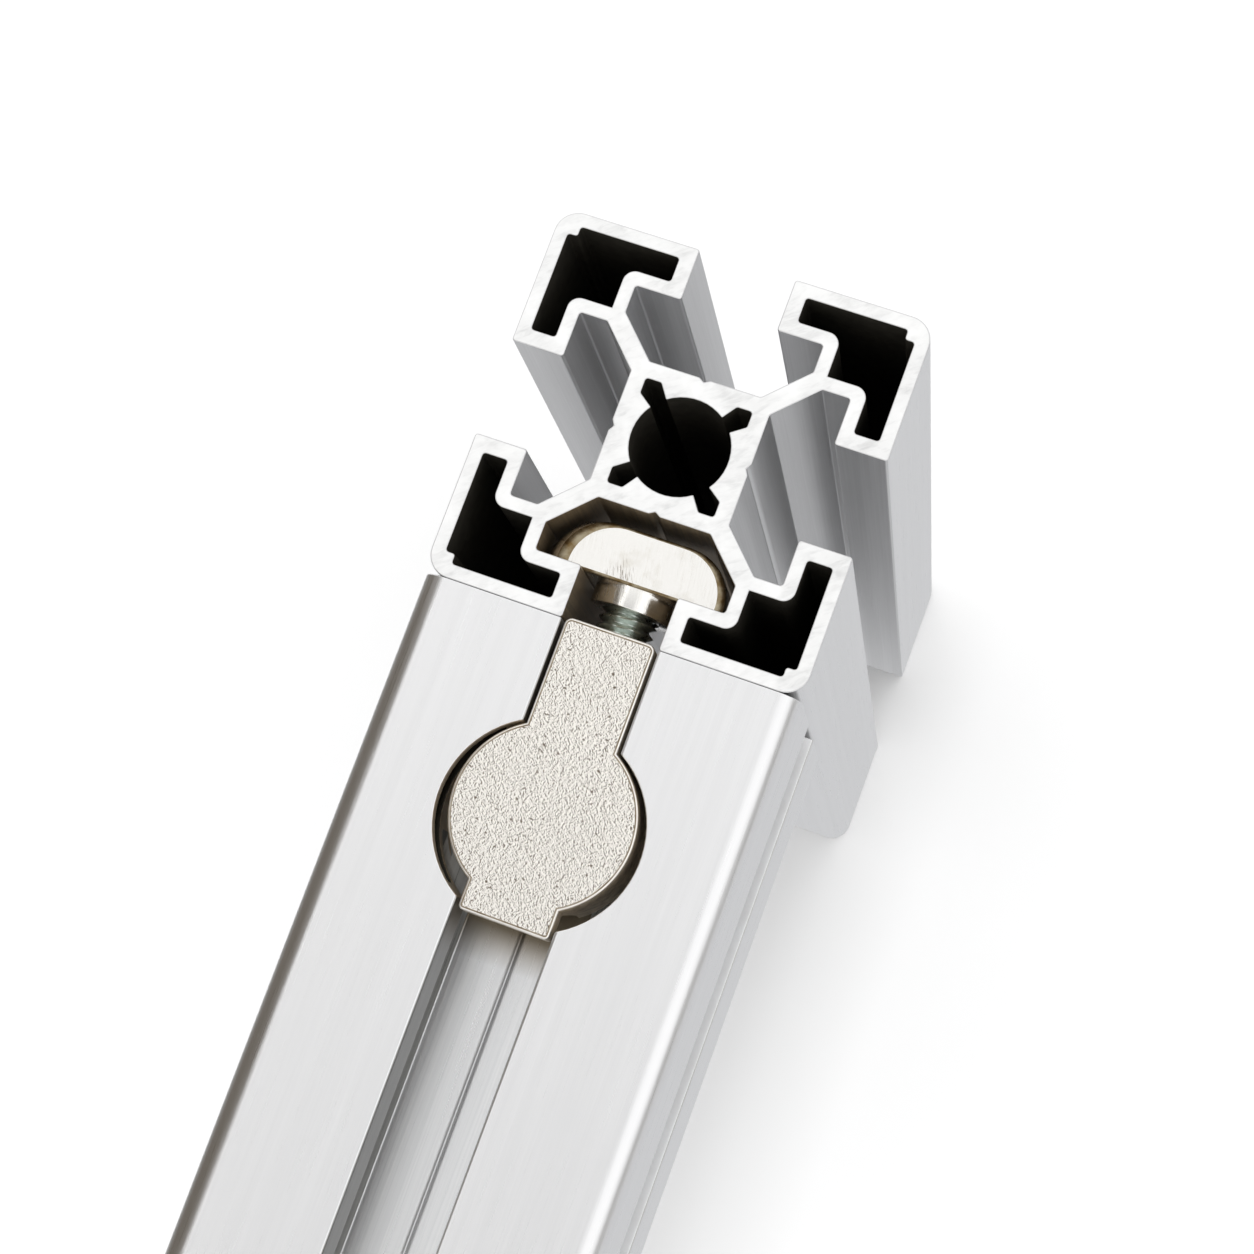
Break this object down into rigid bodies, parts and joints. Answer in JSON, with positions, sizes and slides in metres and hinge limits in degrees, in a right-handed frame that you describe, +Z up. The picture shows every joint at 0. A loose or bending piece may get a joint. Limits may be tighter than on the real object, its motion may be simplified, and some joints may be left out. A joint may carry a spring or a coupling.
{
  "type": "profile blind joint",
  "caption": "Right-angle blind joint of a slotted aluminium post and rail, clamped by a die-cast connector with a cap screw and a hammer nut hidden in the slots.",
  "frame": {"origin": "middle of the post's lower end face, on the post's axis", "axes": "+Z up the post's axis, rail towards -Y, X across both profiles"},
  "size_m": [0.04, 0.13, 0.118],
  "materials": {
    "anodised_aluminium": "satin natural anodised",
    "cast_zinc": "pebbled zinc die casting, bright",
    "nickel_steel": "nickel-plated steel",
    "black_steel": "blackened steel"
  },
  "bodies": {
    "post": {"post_profile": "anodised_aluminium"},
    "rail": {"rail_profile": "anodised_aluminium"},
    "connector": {"connector_housing": "cast_zinc"},
    "nut": {"hammer_nut": "nickel_steel"},
    "screw": {"clamp_screw": "black_steel"}
  },
  "joints": [
    {"name": "rail_slide", "type": "slide", "parent": "post", "child": "rail", "axis": [0, 0, 1], "range_m": [-0.078, 0]},
    {"name": "connector_lift", "type": "slide", "parent": "rail", "child": "connector", "axis": [0, 0, 1], "range_m": [0, 0.03]},
    {"name": "screw_turn", "type": "hinge", "parent": "connector", "child": "screw", "pos_m": [0, -0.0343, 0.1106], "axis": [0, -1, 0], "range_deg": [0, 216]},
    {"name": "nut_draw", "type": "slide", "parent": "connector", "child": "nut", "axis": [0, 1, 0], "range_m": [0, 0.0006]}
  ],
  "couplings": [
    {"joint": "nut_draw", "follows": "screw_turn", "m_per_rad": 0.00015915}
  ]
}
